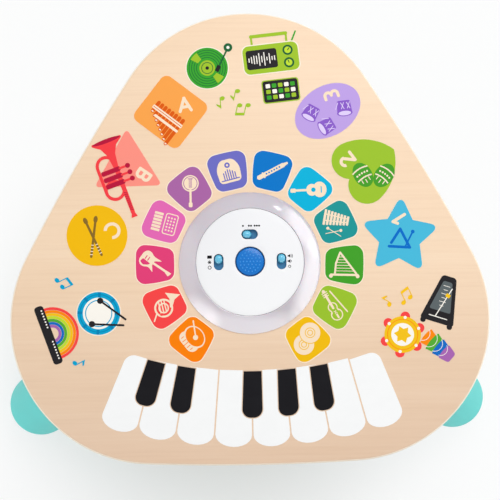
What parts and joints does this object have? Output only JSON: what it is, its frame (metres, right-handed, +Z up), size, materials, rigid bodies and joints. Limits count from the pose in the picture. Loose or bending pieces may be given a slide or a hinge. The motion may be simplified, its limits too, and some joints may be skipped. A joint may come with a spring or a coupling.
{
  "type": "musical activity table",
  "caption": "Low three-legged play table with a rounded three-cornered birch top, printed touch keys and tiles, and a light-up control dome with a push button and three slide switches.",
  "frame": {"origin": "on the floor, under the middle of the table's bounding box", "axes": "+X to the right, +Y away from the child at the keyboard, +Z up"},
  "size_m": [0.55, 0.5044, 0.3589],
  "materials": {
    "birch_ply": "birch plywood, clear matt lacquer",
    "beech": "solid beech, clear matt lacquer",
    "painted_leg": "turned wood, satin turquoise paint",
    "rubber_foot": "moulded rubber",
    "steel": "zinc-plated steel",
    "brass": "turned brass",
    "milky_plastic": "milky translucent, glossy",
    "white_plastic": "white, satin gloss",
    "blue_plastic": "blue, glossy",
    "light_blue_plastic": "light blue, glossy",
    "dark_blue_plastic": "dark blue, matt",
    "silicone": "silicone rubber",
    "circuit_board": "green circuit board",
    "led_plastic": "clear cap over a diode",
    "grey_plastic": "pale grey moulded, fine grain",
    "film": "polyimide film with printed tracks",
    "black_plastic": "black moulded",
    "spacer_nylon": "nylon",
    "speaker_metal": "grey pressed steel",
    "cone_paper": "black paper cone",
    "magnet": "ferrite and plated yoke",
    "foam": "foam",
    "cell_jacket": "cell with plain dark jacket",
    "red_wire": "insulated wire",
    "black_wire": "insulated wire",
    "white_ink": "printed film, satin",
    "black_ink": "printed film, satin",
    "colour_ink": "printed film in twelve colours, satin",
    "pastel_ink": "printed film in six colours, satin"
  },
  "bodies": {
    "table": {"top_panel": "birch_ply", "rim_frame": "beech", "bottom_cover": "birch_ply", "leg_block_front_left": "beech", "leg_block_front_right": "beech", "leg_block_rear": "beech", "leg_front_left": "painted_leg", "leg_front_right": "painted_leg", "leg_rear": "painted_leg", "leg_studs": "steel", "thread_inserts": "brass", "block_screws": "steel", "foot_pad_front_left": "rubber_foot", "foot_pad_front_right": "rubber_foot", "foot_pad_rear": "rubber_foot", "cover_screws": "steel", "light_ring": "milky_plastic", "control_cap": "white_plastic", "button_rubber": "silicone", "slide_switches": "steel", "control_board": "circuit_board", "ring_leds": "led_plastic", "hub_tray": "white_plastic", "hub_screws": "steel", "cap_screws": "steel", "touch_sheet": "film", "sensor_ribbon": "film", "main_board": "circuit_board", "board_parts": "black_plastic", "board_spacers": "spacer_nylon", "board_screws": "steel", "speaker_frame": "speaker_metal", "speaker_cone": "cone_paper", "speaker_magnet": "magnet", "speaker_gasket": "foam", "speaker_screws": "steel", "battery_box": "grey_plastic", "battery_contacts": "steel", "battery_1": "cell_jacket", "battery_2": "cell_jacket", "battery_3": "cell_jacket", "battery_box_screws": "steel", "battery_leads": "red_wire", "speaker_leads": "black_wire", "white_keys": "white_ink", "black_keys": "black_ink", "tile_prints": "colour_ink", "shape_prints": "pastel_ink"},
    "button": {"centre_button": "blue_plastic"},
    "language_slider": {"language_knob": "light_blue_plastic", "language_carriage": "dark_blue_plastic", "language_lever": "steel"},
    "mode_slider": {"mode_knob": "light_blue_plastic", "mode_carriage": "dark_blue_plastic", "mode_lever": "steel"},
    "volume_slider": {"volume_knob": "light_blue_plastic", "volume_carriage": "dark_blue_plastic", "volume_lever": "steel"},
    "battery_door": {"battery_door": "grey_plastic"},
    "battery_door_screw": {"battery_door_screw": "steel"}
  },
  "joints": [
    {"name": "button_press", "type": "slide", "parent": "table", "child": "button", "axis": [0, 0, -1], "range_m": [0, 0.0016], "stiffness_N_per_m": 600, "springref_m": -0.001, "deforming": ["button_rubber"]},
    {"name": "language_slide", "type": "slide", "parent": "table", "child": "language_slider", "axis": [1, 0, 0], "range_m": [0, 0.0053]},
    {"name": "mode_slide", "type": "slide", "parent": "table", "child": "mode_slider", "axis": [0, -1, 0], "range_m": [0, 0.0053]},
    {"name": "volume_slide", "type": "slide", "parent": "table", "child": "volume_slider", "axis": [0, -1, 0], "range_m": [0, 0.0053]},
    {"name": "battery_door_hinge", "type": "hinge", "parent": "table", "child": "battery_door", "pos_m": [0, 0.05423, 0.303], "axis": [1, 0, 0], "range_deg": [0, 90]},
    {"name": "door_screw_out", "type": "slide", "parent": "battery_door", "child": "battery_door_screw", "axis": [0, 0, -1], "range_m": [0, 0.003]}
  ]
}
